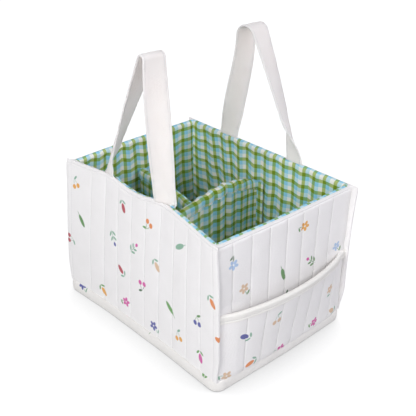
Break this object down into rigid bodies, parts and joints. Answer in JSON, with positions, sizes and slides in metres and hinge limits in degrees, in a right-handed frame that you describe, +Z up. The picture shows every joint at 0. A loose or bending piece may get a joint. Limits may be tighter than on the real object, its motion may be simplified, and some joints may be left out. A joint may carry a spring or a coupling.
{
  "type": "diaper caddy",
  "caption": "Rectangular quilted fabric caddy with check lining, strap handles that fold, an end slip pocket and a lift-out T-shaped divider.",
  "frame": {"origin": "centre of the underside, on the surface the caddy stands on", "axes": "+X along the long walls towards the pocket end, +Y from the front handle to the back handle, +Z up"},
  "size_m": [0.3548, 0.259, 0.414],
  "materials": {
    "quilted_cotton": "printed white cotton quilted over wadding",
    "ivory_cotton": "plain ivory cotton",
    "check_cotton": "woven check cotton in green, blue and white",
    "strap_cotton": "folded white cotton strap",
    "stiffener_board": "plain stiffening board",
    "divider_foam": "foam sheet",
    "hook_and_loop_tape": "woven nylon tape"
  },
  "bodies": {
    "caddy": {"front_outer_panel": "quilted_cotton", "front_board": "stiffener_board", "front_lining": "check_cotton", "front_rim_binding": "check_cotton", "back_outer_panel": "quilted_cotton", "back_board": "stiffener_board", "back_lining": "check_cotton", "back_rim_binding": "check_cotton", "pocket_end_outer_panel": "quilted_cotton", "pocket_end_board": "stiffener_board", "pocket_end_lining": "check_cotton", "pocket_end_rim_binding": "check_cotton", "plain_end_outer_panel": "quilted_cotton", "plain_end_board": "stiffener_board", "plain_end_lining": "check_cotton", "plain_end_rim_binding": "check_cotton", "base_band": "ivory_cotton", "base_outer_panel": "ivory_cotton", "base_board": "stiffener_board", "base_lining": "check_cotton", "pocket_panel": "quilted_cotton", "pocket_binding": "ivory_cotton", "front_strap_tail_left": "strap_cotton", "front_strap_tail_right": "strap_cotton", "back_strap_tail_left": "strap_cotton", "back_strap_tail_right": "strap_cotton", "front_loop_tape": "hook_and_loop_tape", "back_loop_tape": "hook_and_loop_tape", "plain_end_loop_tape": "hook_and_loop_tape"},
    "front_handle": {"front_handle": "strap_cotton"},
    "back_handle": {"back_handle": "strap_cotton"},
    "divider": {"cross_divider": "check_cotton", "cross_divider_core": "divider_foam", "long_divider": "check_cotton", "long_divider_core": "divider_foam", "cross_divider_front_tab": "check_cotton", "cross_divider_front_hook_tape": "hook_and_loop_tape", "cross_divider_back_tab": "check_cotton", "cross_divider_back_hook_tape": "hook_and_loop_tape", "long_divider_tab": "check_cotton", "long_divider_hook_tape": "hook_and_loop_tape"}
  },
  "joints": [
    {"name": "front_handle_fold", "type": "hinge", "parent": "caddy", "child": "front_handle", "pos_m": [-0.02, -0.1025, 0.223], "axis": [1, 0, 0], "range_deg": [-12, 100]},
    {"name": "back_handle_fold", "type": "hinge", "parent": "caddy", "child": "back_handle", "pos_m": [-0.006, 0.1165, 0.223], "axis": [-1, 0, 0], "range_deg": [-12, 100]},
    {"name": "divider_lift", "type": "slide", "parent": "caddy", "child": "divider", "axis": [0, 0, 1], "range_m": [0, 0.13]}
  ]
}
